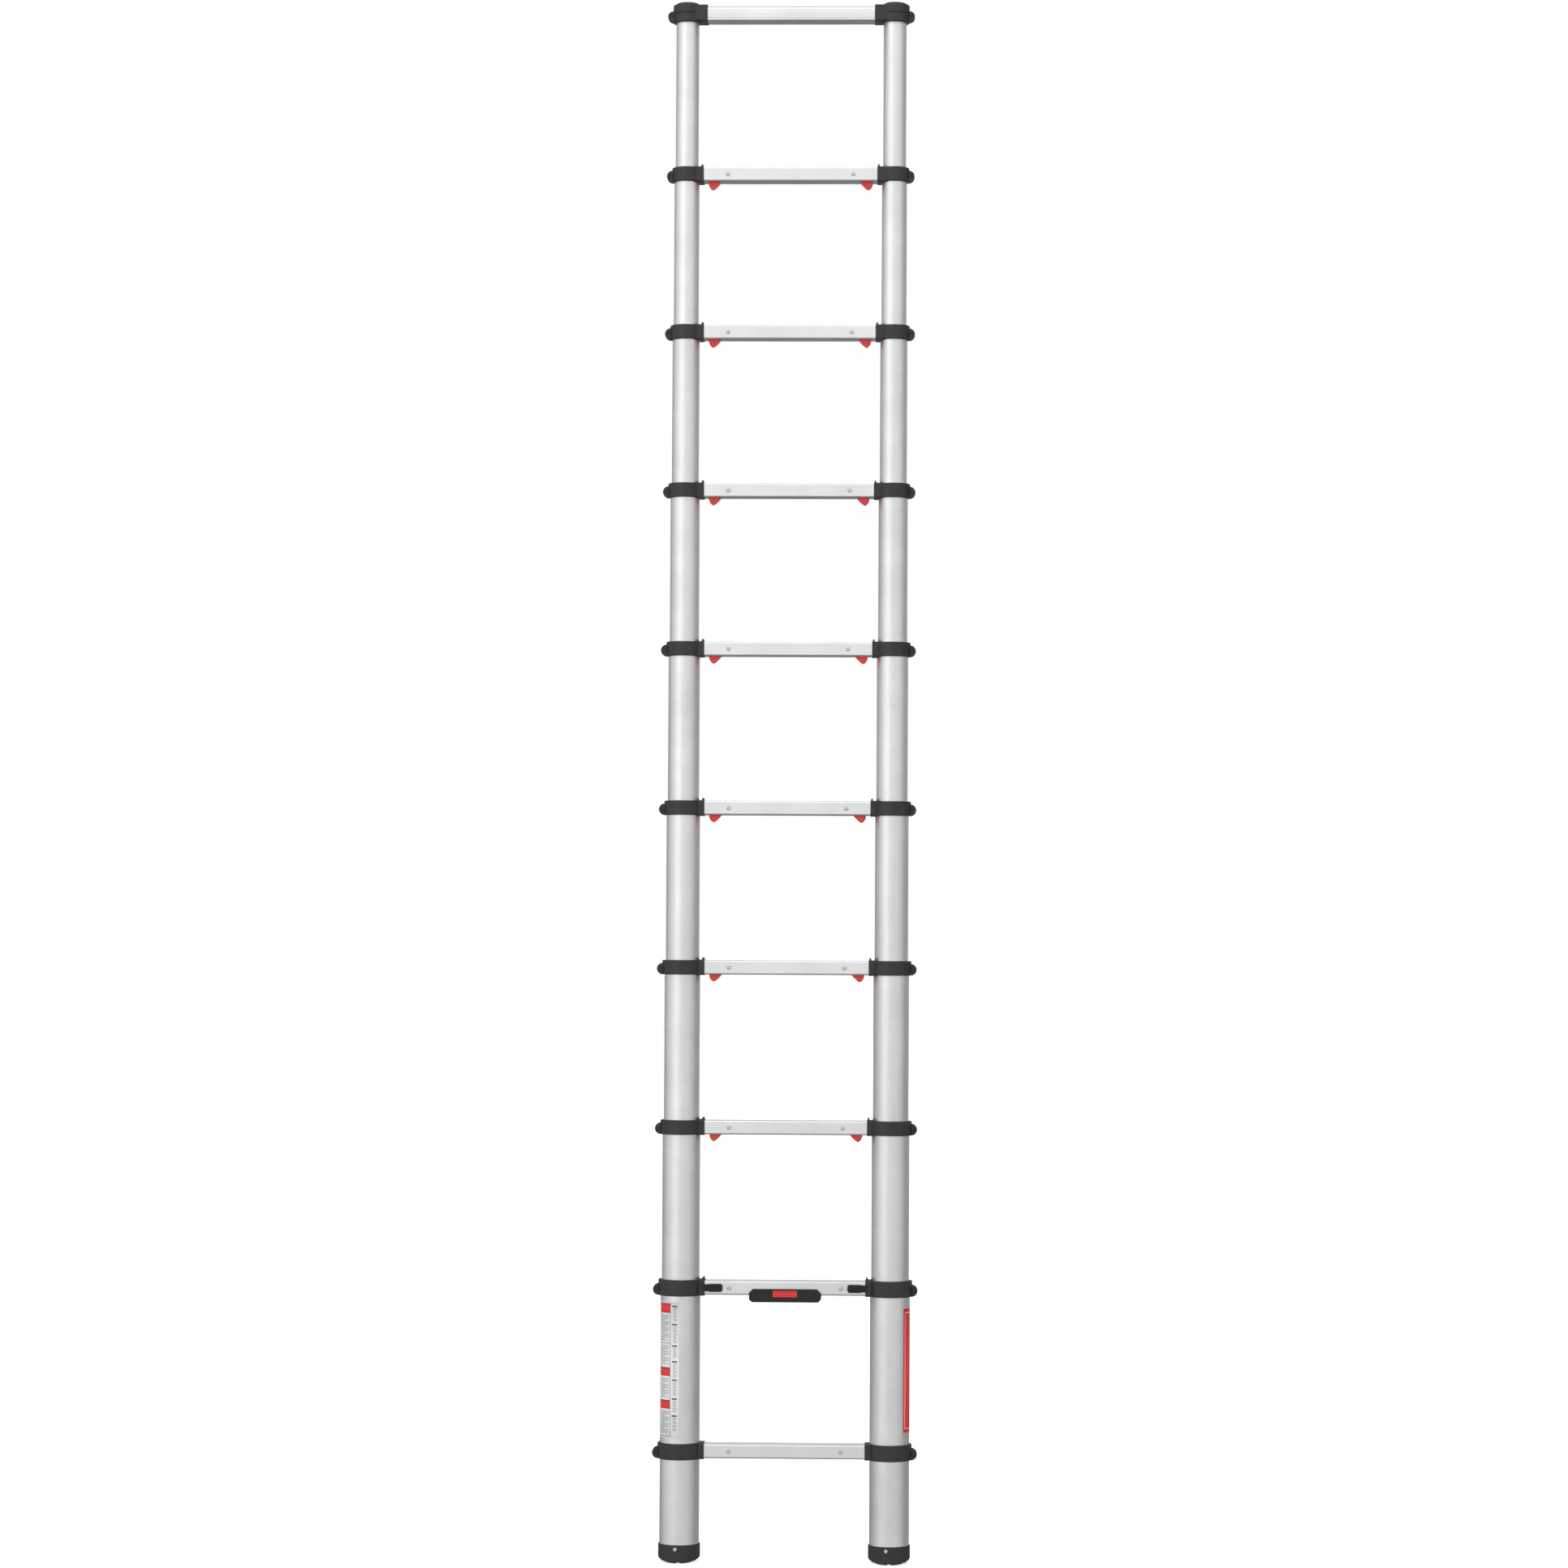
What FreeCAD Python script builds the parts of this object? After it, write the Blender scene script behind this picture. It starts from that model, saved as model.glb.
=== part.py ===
import FreeCAD, Part
import math
import os
from FreeCAD import Vector

# Telescopic extension ladder, drawn fully extended. All lengths are in millimetres.
# X runs across the ladder, +Y away from the climber, +Z up the stiles.
# The origin lies midway between the feet, on the lowest line of the soles.

# ---- overall layout ----
SECTION_COUNT = 9
STILE_X = 200.0
BASE_TUBE_RADIUS = 38.0
RADIUS_STEP = 2.0
TUBE_WALL = 1.5
FIRST_RUNG_Z = 210.0
SECOND_RUNG_Z = 520.0
RUNG_PITCH = 305.0
TOP_RUNG_Z = 2966.0
TUBE_OVERLAP = 90.0
LAST_RUNG = SECTION_COUNT + 1

# ---- fits ----
FIT = 0.05
SLIDE_GAP = 0.3
PIN_GUIDE_GAP = 0.1
TUBE_HOLE_GAP = 0.3

# ---- rungs ----
RUNG_DEPTH = 40.0
RUNG_HEIGHT = 27.0
RUNG_WALL = 1.8
RUNG_CORNER = 3.0
INNER_CORNER = 1.5
TREAD_RIBS = 9
TREAD_RIB_PITCH = 3.4
TREAD_GROOVE = 1.5
TREAD_DEPTH = 0.8
TOP_RUNG_HALF_HEIGHT = 14.0
TOP_RUNG_FRONT = -22.0
TOP_RUNG_SHOULDER = 7.0

# ---- collars ----
BASE_COLLAR_HEIGHT = 30.5
COLLAR_HEIGHT = 27.5
COLLAR_WALL = 4.5
COLLAR_CHAMFER = 1.2
LIP_HEIGHT = 2.5
SOCKET_REACH = 9.0
SOCKET_DEPTH = 44.0
SOCKET_HEIGHT = 29.5
SOCKET_CORNER = 2.5
RAIL_INNER_Y = 13.0
TENON_HALF_DEPTH = 18.1
TENON_HALF_HEIGHT = 11.5
END_BLOCK_START = 49.0
END_BLOCK_END = 62.0
NUB_X = 6.2
NUB_WIDTH = 3.5
NUB_HEIGHT = 4.0
NUB_LENGTH = 36.0

# ---- clamp ears ----
EAR_RADIUS = 11.0
EAR_HALF_DEPTH = 9.0
EAR_SLIT = 2.0
EAR_CENTRE_X = 3.5
CLAMP_SCREW_X = 7.0
CLAMP_SCREW_RADIUS = 2.0
CLAMP_HEAD_RADIUS = 3.3
CLAMP_HEAD_HEIGHT = 3.0
CLAMP_RECESS_RADIUS = 3.9
CLAMP_RECESS_DEPTH = 4.0
CLAMP_BORE_HALF = 20.0
SCREW_HOLE_GAP = 0.15

# ---- guide bushes ----
BUSH_LIP = 4.0
BUSH_SPIGOT = 15.0
BUSH_WALL = 1.5
BUSH_RUNNING_GAP = 0.1

# ---- face screws ----
FACE_SCREW_X = 55.5
FACE_SCREW_HEAD_RADIUS = 4.3
FACE_SCREW_HEAD_HEIGHT = 1.8
FACE_SCREW_RADIUS = 2.0
SCREW_HEAD_TAPER = 1.2
KEY_SOCKET_WALL = 0.4
FACE_SCREW_LENGTH = 11.0

# ---- lock pins ----
PIN_RADIUS = 3.5
PIN_REST_GAP = 0.3
PIN_NOSE_CHAMFER = 0.6
CARRIAGE_HALF_DEPTH = 9.0
CARRIAGE_HALF_HEIGHT = 5.0
CARRIAGE_BOTTOM_Z = 0.3
CARRIAGE_TOP_Z = 9.0
CARRIAGE_BACK = 38.0
TAIL_RADIUS = 2.0
TAIL_END = 53.0
TAIL_GAP = 0.1

# ---- release triggers ----
TRIGGER_START = 18.0
TRIGGER_WIDTH = 23.5
TRIGGER_HANG = 13.5
TRIGGER_TIP = 8.5
TRIGGER_HALF_DEPTH = 9.0
TRIGGER_DOWN_TRAVEL = 2.5
FORK_INNER_Y = 4.4
FORK_SLOT_Z = -12.6
FLANGE_HEIGHT = 1.0
FLANGE_HALF_DEPTH = 11.0
FLANGE_OVERHANG = 2.0
RAMP_OFFSET = 6.8
CHEEK_X = 1.0
CHEEK_TOP_Z = 3.5
RAMP_GAP = 0.3
TRIGGER_SLOT_GAP = 0.4

# ---- thumb slides on the second rung ----
THUMB_NECK_START = 7.0
THUMB_PLATE_START = 16.0
THUMB_PLATE_END = 43.0
THUMB_PLATE_HEIGHT = 15.0
THUMB_PLATE_CORNER = 4.5
THUMB_NECK_HEIGHT = 13.6
THUMB_NECK_DEPTH = 1.6
THUMB_DEPTH = 3.8
THUMB_FACE_GAP = 0.2
THUMB_STEM_START = 18.0
THUMB_STEM_END = 26.0
THUMB_STEM_HALF_HEIGHT = 3.0
THUMB_LOCK_TRAVEL = 3.0
THUMB_FREE_TRAVEL = 6.0
THUMB_RIDGES = 6
THUMB_RIDGE_PITCH = 3.2
THUMB_RIDGE_WIDTH = 1.2
THUMB_RIDGE_HEIGHT = 0.9
THUMB_RIDGE_INSET = 2.5

# ---- carry grip on the second rung ----
GRIP_LENGTH = 137.0
GRIP_TOP_LENGTH = 122.0
GRIP_TOP_Z = -1.5
GRIP_BOTTOM_Z = -26.7
GRIP_WALL = 3.9
GRIP_FLOOR = 3.0
GRIP_CHAMFER = 5.5
GRIP_ROUNDING = 4.0

# ---- top caps ----
CAP_WALL = 6.0
CAP_BOTTOM_Z = -16.0
CAP_SEAM_Z = 2.0
CAP_SHOULDER_Z = 19.0
CAP_DOME_Z = 24.0
CAP_TUBE_TOP_Z = 14.0
CAP_SOCKET_REACH = 17.0
CAP_SOCKET_DEPTH = 47.0
CAP_SOCKET_BOTTOM_Z = -14.5
CAP_SOCKET_TOP_Z = 17.0
CAP_EAR_Z = -3.7
CAP_EAR_RADIUS = 10.0
CAP_EAR_X = 6.0
CAP_SCREW_X = 9.5
CAP_PAD_REACH = 8.0
CAP_PAD_HALF_WIDTH = 14.0
CAP_PAD_BOTTOM_Z = -14.0
CAP_PAD_CORNER = 2.5
CAP_TENON_LENGTH = 28.0
CAP_TENON_HALF_DEPTH = 16.0
CAP_TENON_HALF_HEIGHT = 11.0
CAP_TENON_WALL = 2.5

# ---- feet ----
FOOT_RADIUS = 40.0
FOOT_HEIGHT = 34.0
FOOT_FLOOR = 5.0
FOOT_PLUG_TOP = 60.0
FOOT_PLUG_WALL = 4.0
SOLE_ANGLE = 15.0
SOLE_GROOVE_WIDTH = 3.0
SOLE_GROOVE_DEPTH = 2.0
SOLE_GROOVE_PITCH = 10.0
SOLE_GROOVE_COUNT = 7
RIVET_Z = 26.0
RIVET_OFFSET_X = -6.0
RIVET_HEAD_RADIUS = 4.0
RIVET_HEAD_HEIGHT = 1.4
RIVET_RADIUS = 2.4
RIVET_HOLE_RADIUS = 1.5
RIVET_LENGTH = 8.0

AXIS_X = Vector(1, 0, 0)
AXIS_Y = Vector(0, 1, 0)
AXIS_Z = Vector(0, 0, 1)


def section_radius(section):
    return BASE_TUBE_RADIUS - RADIUS_STEP * (section - 1)


def rung_z(number):
    if number == 1:
        return FIRST_RUNG_Z
    if number == LAST_RUNG:
        return TOP_RUNG_Z
    return SECOND_RUNG_Z + RUNG_PITCH * (number - 2)


def rung_section(number):
    # The base section carries rungs one and two; every other section carries one.
    return max(1, number - 1)


def collar_height(number):
    if number <= 2:
        return BASE_COLLAR_HEIGHT
    return COLLAR_HEIGHT


def box(x0, x1, y0, y1, z0, z1):
    return Part.makeBox(x1 - x0, y1 - y0, z1 - z0, Vector(x0, y0, z0))


def cylinder_z(radius, z0, z1, x=0.0):
    return Part.makeCylinder(radius, z1 - z0, Vector(x, 0, z0), AXIS_Z)


def cylinder_x(radius, x0, x1):
    return Part.makeCylinder(radius, x1 - x0, Vector(x0, 0, 0), AXIS_X)


def cylinder_y(radius, y0, y1, x, z):
    return Part.makeCylinder(radius, y1 - y0, Vector(x, y0, z), AXIS_Y)


def prism_y(points, y0, y1):
    # Extrudes a closed outline of (x, z) points along Y.
    corners = [Vector(x, y0, z) for x, z in points]
    corners.append(corners[0])
    return Part.Face(Part.makePolygon(corners)).extrude(Vector(0, y1 - y0, 0))


def prism_x(points, x0, x1):
    # Extrudes a closed outline of (y, z) points along X.
    corners = [Vector(x0, y, z) for y, z in points]
    corners.append(corners[0])
    return Part.Face(Part.makePolygon(corners)).extrude(Vector(x1 - x0, 0, 0))


def arc_points(centre, radius, start, end, steps):
    # Points along an arc of the XZ or YZ plane, angles in degrees.
    points = []
    for step in range(steps + 1):
        angle = math.radians(start + (end - start) * step / steps)
        points.append((centre[0] + radius * math.cos(angle), centre[1] + radius * math.sin(angle)))
    return points


def revolved(points):
    # Turns a closed outline of (radius, z) points about the tube's axis.
    corners = [Vector(r, 0, z) for r, z in points]
    corners.append(corners[0])
    return Part.Face(Part.makePolygon(corners)).revolve(Vector(0, 0, 0), AXIS_Z, 360)


def rounded_bar(x0, x1, half_depth, z0, z1, corner):
    # A bar along X whose four long edges are rounded.
    bar = box(x0, x1, -half_depth, half_depth, z0, z1)
    long_edges = []
    for edge in bar.Edges:
        direction = edge.tangentAt(edge.FirstParameter)
        if abs(direction.x) > 0.99:
            long_edges.append(edge)
    return bar.makeFillet(corner, long_edges)


def placed(shape, x, z):
    copy = shape.copy()
    copy.translate(Vector(x, 0, z))
    return copy


def both_sides(shapes, z=0.0):
    # Left-hand shapes are drawn about their own tube axis with inboard at +X.
    solids = []
    for shape in shapes:
        left = placed(shape, -STILE_X, z)
        solids.append(left)
        solids.append(left.mirror(Vector(0, 0, 0), AXIS_X))
    return solids


def one_side(shape, side, z):
    left = placed(shape, -STILE_X, z)
    if side == "left":
        return left
    return left.mirror(Vector(0, 0, 0), AXIS_X)


# ---- stile tubes ----
def section_tube(section):
    radius = section_radius(section)
    top_rung = section + 1
    if section == SECTION_COUNT:
        top = TOP_RUNG_Z + CAP_TUBE_TOP_Z
    else:
        top = rung_z(top_rung) + collar_height(top_rung) / 2.0 - LIP_HEIGHT
    if section == 1:
        bottom = 0.0
    else:
        bottom = rung_z(section) - TUBE_OVERLAP
    tube = cylinder_z(radius, bottom, top).cut(cylinder_z(radius - TUBE_WALL, bottom - 1, top + 1))
    if section == 1:
        tube = tube.cut(below_sole(FOOT_FLOOR + FIT))
    hole = cylinder_x(PIN_RADIUS + TUBE_HOLE_GAP, 0, radius + 1)
    if section < SECTION_COUNT:
        tube = tube.cut(placed(hole, 0, rung_z(top_rung)))
    if section > 1:
        tube = tube.cut(placed(hole, 0, rung_z(section)))
    return tube


def base_tubes():
    # The rivet holes are offset the same way on both tubes, so they are cut after mirroring.
    tubes = []
    for tube, x in zip(both_sides([section_tube(1)]), (-STILE_X, STILE_X)):
        tubes.append(tube.cut(placed(rivet_direction_turn(foot_rivet_bore()), x, 0)))
    return tubes


def guide_bush(section):
    # Flanged ring pressed into the tube's lower end; its flange runs in the tube outside.
    radius = section_radius(section)
    inner = radius - TUBE_WALL - FIT
    outer = radius + RADIUS_STEP - TUBE_WALL - BUSH_RUNNING_GAP
    bore = inner - BUSH_WALL
    bottom = rung_z(section) - TUBE_OVERLAP - FIT
    flange = cylinder_z(outer, bottom - BUSH_LIP, bottom)
    spigot = cylinder_z(inner, bottom - BUSH_LIP, bottom + BUSH_SPIGOT)
    hole = cylinder_z(bore, bottom - BUSH_LIP - 1, bottom + BUSH_SPIGOT + 1)
    return flange.fuse(spigot).cut(hole).removeSplitter()


# ---- feet ----
def below_sole(offset):
    # Half space under the sloping sole plane, raised by an offset, as a large block.
    size = 200.0
    block = box(-size, size, -size, size, -size, 0)
    block.rotate(Vector(0, 0, 0), AXIS_X, SOLE_ANGLE)
    lift = offset / math.cos(math.radians(SOLE_ANGLE))
    block.translate(Vector(0, -FOOT_RADIUS, lift))
    return block


def foot_rivet_bore():
    front = -FOOT_RADIUS
    return cylinder_y(RIVET_RADIUS + SCREW_HOLE_GAP, front - 2, front + RIVET_LENGTH + 1, 0, RIVET_Z)


def rivet_direction_turn(shape):
    # Rivets sit a little to one side of straight ahead, at the same side on both feet.
    turned = shape.copy()
    angle = math.degrees(math.asin(RIVET_OFFSET_X / FOOT_RADIUS))
    turned.rotate(Vector(0, 0, 0), AXIS_Z, angle)
    return turned


def foot_shoe():
    tube_radius = BASE_TUBE_RADIUS
    shell = revolved([
        (0, 0), (FOOT_RADIUS - 0.5, 0), (FOOT_RADIUS, 0.5), (FOOT_RADIUS, FOOT_HEIGHT - 1.0),
        (FOOT_RADIUS - 0.8, FOOT_HEIGHT), (0, FOOT_HEIGHT)])
    plug = cylinder_z(tube_radius - TUBE_WALL - FIT, 0, FOOT_PLUG_TOP)
    shoe = shell.fuse(plug)
    sleeve = cylinder_z(tube_radius + FIT, 0, FOOT_PLUG_TOP + 1)
    sleeve = sleeve.cut(cylinder_z(tube_radius - TUBE_WALL - FIT, -1, FOOT_PLUG_TOP + 2))
    hollow = cylinder_z(tube_radius - TUBE_WALL - FIT - FOOT_PLUG_WALL, 0, FOOT_PLUG_TOP + 1)
    floor = below_sole(FOOT_FLOOR)
    shoe = shoe.cut(sleeve.cut(floor))
    shoe = shoe.cut(hollow.cut(floor))
    shoe = shoe.cut(below_sole(0.0))
    grooves = []
    for index in range(SOLE_GROOVE_COUNT):
        y = SOLE_GROOVE_PITCH * (index - (SOLE_GROOVE_COUNT - 1) / 2.0)
        grooves.append(box(-FOOT_RADIUS, FOOT_RADIUS, y, y + SOLE_GROOVE_WIDTH, -1, SOLE_GROOVE_DEPTH))
    length = 2 * FOOT_RADIUS
    grooves.append(box(-SOLE_GROOVE_WIDTH, SOLE_GROOVE_WIDTH, -length, length, -1, SOLE_GROOVE_DEPTH))
    for groove in grooves:
        groove.translate(Vector(0, FOOT_RADIUS, 0))
        groove.rotate(Vector(0, 0, 0), AXIS_X, SOLE_ANGLE)
        groove.translate(Vector(0, -FOOT_RADIUS, 0))
        shoe = shoe.cut(groove)
    return shoe


def foot_rivet():
    head = Part.makeCone(RIVET_HEAD_RADIUS - SCREW_HEAD_TAPER, RIVET_HEAD_RADIUS, RIVET_HEAD_HEIGHT,
                         Vector(0, -FOOT_RADIUS - RIVET_HEAD_HEIGHT, RIVET_Z), AXIS_Y)
    shank = cylinder_y(RIVET_RADIUS, -FOOT_RADIUS, -FOOT_RADIUS + RIVET_LENGTH, 0, RIVET_Z)
    socket = cylinder_y(RIVET_HOLE_RADIUS, -FOOT_RADIUS - RIVET_HEAD_HEIGHT - 1, -FOOT_RADIUS + 2, 0, RIVET_Z)
    return head.fuse(shank).cut(socket).removeSplitter()


def feet():
    shoe = foot_shoe()
    solids = []
    for x in (-STILE_X, STILE_X):
        bored = shoe.cut(rivet_direction_turn(foot_rivet_bore()))
        solids.append(placed(bored, x, 0))
        solids.append(placed(rivet_direction_turn(foot_rivet()), x, 0))
    return solids


# ---- rungs ----
def treaded_top(top):
    # Outline of the ribbed tread, from the back edge to the front edge.
    points = []
    start = (TREAD_RIBS - 1) / 2.0 * TREAD_RIB_PITCH
    for index in range(TREAD_RIBS):
        y = start - index * TREAD_RIB_PITCH
        points.append((y + TREAD_GROOVE / 2.0, top))
        points.append((y + TREAD_GROOVE / 4.0, top - TREAD_DEPTH))
        points.append((y - TREAD_GROOVE / 4.0, top - TREAD_DEPTH))
        points.append((y - TREAD_GROOVE / 2.0, top))
    return points


def rung_outline():
    half_depth = RUNG_DEPTH / 2.0
    half_height = RUNG_HEIGHT / 2.0
    centre_y = half_depth - RUNG_CORNER
    centre_z = half_height - RUNG_CORNER
    points = []
    points += arc_points((centre_y, -centre_z), RUNG_CORNER, -90, 0, 4)
    points += arc_points((centre_y, centre_z), RUNG_CORNER, 0, 90, 4)
    points += treaded_top(half_height)
    points += arc_points((-centre_y, centre_z), RUNG_CORNER, 90, 180, 4)
    points += arc_points((-centre_y, -centre_z), RUNG_CORNER, 180, 270, 4)
    return points


def top_rung_outline():
    # The top rung has a bulging front with a fine groove above its lower lip.
    top = TOP_RUNG_HALF_HEIGHT
    corner_y = RUNG_DEPTH / 2.0 - RUNG_CORNER
    corner_z = top - RUNG_CORNER
    front = TOP_RUNG_FRONT
    points = []
    points += arc_points((corner_y, -corner_z), RUNG_CORNER, -90, 0, 4)
    points += arc_points((corner_y, corner_z), RUNG_CORNER, 0, 90, 4)
    points += treaded_top(top)
    points += arc_points((front + TOP_RUNG_SHOULDER, top - TOP_RUNG_SHOULDER), TOP_RUNG_SHOULDER, 90, 165, 6)
    points += [(front, 1.0), (front + 0.4, -8.2), (front + 1.6, -8.8)]
    points += [(front + 1.6, -9.6), (front + 0.3, -10.2)]
    points += [(front + 0.1, -12.3), (front + 0.8, -13.4), (front + 2.0, -top)]
    return points


def rung_start(number):
    # Distance from the tube's axis to the rung's cut end.
    radius = section_radius(rung_section(number))
    if number == LAST_RUNG:
        return radius + CAP_SOCKET_REACH
    return radius + SOCKET_REACH


def plain_rung(number):
    half_length = STILE_X - rung_start(number) - FIT
    if number == LAST_RUNG:
        outside = prism_x(top_rung_outline(), -half_length, half_length)
        inside = rounded_bar(-half_length - 1, half_length + 1, RUNG_DEPTH / 2.0 - RUNG_WALL,
                             -TOP_RUNG_HALF_HEIGHT + RUNG_WALL,
                             TOP_RUNG_HALF_HEIGHT - RUNG_WALL - TREAD_DEPTH, INNER_CORNER)
    else:
        outside = prism_x(rung_outline(), -half_length, half_length)
        inside = rounded_bar(-half_length - 1, half_length + 1, RUNG_DEPTH / 2.0 - RUNG_WALL,
                             -RUNG_HEIGHT / 2.0 + RUNG_WALL, RUNG_HEIGHT / 2.0 - RUNG_WALL, INNER_CORNER)
    return outside.cut(inside)


def both_ends(shape):
    left = placed(shape, -STILE_X, 0)
    return [left, left.mirror(Vector(0, 0, 0), AXIS_X)]


def face_screw(radius):
    front = -RUNG_DEPTH / 2.0
    x = radius + FACE_SCREW_X
    wide = FACE_SCREW_HEAD_RADIUS
    head = Part.makeCone(wide - SCREW_HEAD_TAPER, wide, FACE_SCREW_HEAD_HEIGHT,
                         Vector(x, front - FACE_SCREW_HEAD_HEIGHT, 0), AXIS_Y)
    shank = cylinder_y(FACE_SCREW_RADIUS, front, front + FACE_SCREW_LENGTH, x, 0)
    socket = cylinder_y(FACE_SCREW_RADIUS - KEY_SOCKET_WALL, front - FACE_SCREW_HEAD_HEIGHT - 1, front, x, 0)
    return head.fuse(shank).cut(socket).removeSplitter()


def face_screw_bore(radius):
    front = -RUNG_DEPTH / 2.0
    x = radius + FACE_SCREW_X
    return cylinder_y(FACE_SCREW_RADIUS + SCREW_HOLE_GAP, front - 1, front + FACE_SCREW_LENGTH + 0.5, x, 0)


def trigger_slot(radius):
    half_depth = TRIGGER_HALF_DEPTH + TRIGGER_SLOT_GAP
    start = radius + TRIGGER_START - TRIGGER_SLOT_GAP
    end = radius + TRIGGER_START + TRIGGER_WIDTH + TRIGGER_SLOT_GAP
    return box(start, end, -half_depth, half_depth, -RUNG_HEIGHT, 0)


def thumb_slot(radius):
    start = radius + THUMB_STEM_START - THUMB_LOCK_TRAVEL - 0.5
    end = radius + THUMB_STEM_END + THUMB_FREE_TRAVEL + 0.5
    half_height = THUMB_STEM_HALF_HEIGHT + SLIDE_GAP
    return box(start, end, -RUNG_DEPTH, 0, -half_height, half_height)


def rung_solids(number):
    rung = plain_rung(number)
    z = rung_z(number)
    radius = section_radius(rung_section(number))
    solids = []
    if number != LAST_RUNG:
        cutters = [face_screw_bore(radius)]
        if number == 2:
            cutters.append(thumb_slot(radius))
        if number > 2:
            cutters.append(trigger_slot(radius))
        for cutter in cutters:
            for end in both_ends(cutter):
                rung = rung.cut(end)
        for screw in both_ends(face_screw(radius)):
            solids.append(placed(screw, 0, z))
    solids.insert(0, placed(rung, 0, z))
    return solids


# ---- collars ----
def ear_outline(centre_x, centre_z, radius):
    # Half disc whose straight side is buried in the ring.
    points = [(-centre_x + radius / 2.0, centre_z + radius)]
    points += arc_points((-centre_x, centre_z), radius, 90, 270, 18)
    points.append((-centre_x + radius / 2.0, centre_z - radius))
    return points


def clamp_ear(centre_x, centre_z, radius):
    return prism_y(ear_outline(centre_x, centre_z, radius), -EAR_HALF_DEPTH, EAR_HALF_DEPTH)


def bored_for_clamp(body, screw_x, centre_z):
    # Cuts the screw hole through both ears and a round recess at each end of it.
    half = CLAMP_BORE_HALF
    bored = body.cut(cylinder_y(CLAMP_SCREW_RADIUS + SCREW_HOLE_GAP, -half, half, -screw_x, centre_z))
    depth = CLAMP_RECESS_DEPTH
    for y0 in (-EAR_HALF_DEPTH - 1, EAR_HALF_DEPTH - depth):
        bored = bored.cut(cylinder_y(CLAMP_RECESS_RADIUS, y0, y0 + depth + 1, -screw_x, centre_z))
    return bored


def clamp_screw(screw_x, centre_z):
    seat = -EAR_HALF_DEPTH + CLAMP_RECESS_DEPTH
    head = cylinder_y(CLAMP_HEAD_RADIUS, seat - CLAMP_HEAD_HEIGHT, seat, -screw_x, centre_z)
    shank = cylinder_y(CLAMP_SCREW_RADIUS, seat, EAR_HALF_DEPTH - 0.5, -screw_x, centre_z)
    key_radius = CLAMP_SCREW_RADIUS - KEY_SOCKET_WALL
    key = cylinder_y(key_radius, seat - CLAMP_HEAD_HEIGHT - 1, seat - 1, -screw_x, centre_z)
    return head.fuse(shank).cut(key).removeSplitter()


def clamp_nut(screw_x, centre_z):
    seat = EAR_HALF_DEPTH - CLAMP_RECESS_DEPTH
    nut = cylinder_y(CLAMP_HEAD_RADIUS, seat, seat + CLAMP_HEAD_HEIGHT, -screw_x, centre_z)
    thread = cylinder_y(CLAMP_SCREW_RADIUS + FIT, seat - 1, seat + CLAMP_HEAD_HEIGHT + 1, -screw_x, centre_z)
    return nut.cut(thread)


def ring_body(outer, top, bottom):
    c = COLLAR_CHAMFER
    return revolved([
        (0, bottom), (outer - c, bottom), (outer, bottom + c), (outer, top - c), (outer - c, top), (0, top)])


def lock_housing(radius):
    # Two rails and an end block that slip into the rung and carry the lock pin.
    rail_start = radius + SOCKET_REACH - 1.0
    rail_end = radius + END_BLOCK_END
    housing = box(radius + END_BLOCK_START, rail_end, -TENON_HALF_DEPTH, TENON_HALF_DEPTH,
                  -TENON_HALF_HEIGHT, TENON_HALF_HEIGHT)
    for side in (-1, 1):
        y0 = min(side * RAIL_INNER_Y, side * TENON_HALF_DEPTH)
        y1 = max(side * RAIL_INNER_Y, side * TENON_HALF_DEPTH)
        housing = housing.fuse(box(rail_start, rail_end, y0, y1, -TENON_HALF_HEIGHT, TENON_HALF_HEIGHT))
    inside = rounded_bar(rail_start - 1, rail_end + 1, TENON_HALF_DEPTH,
                         -TENON_HALF_HEIGHT, TENON_HALF_HEIGHT, INNER_CORNER)
    housing = housing.common(inside)
    housing = housing.cut(cylinder_x(TAIL_RADIUS + TAIL_GAP, radius + END_BLOCK_START - 1, rail_end + 1))
    return housing.cut(face_screw_bore(radius))


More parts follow.
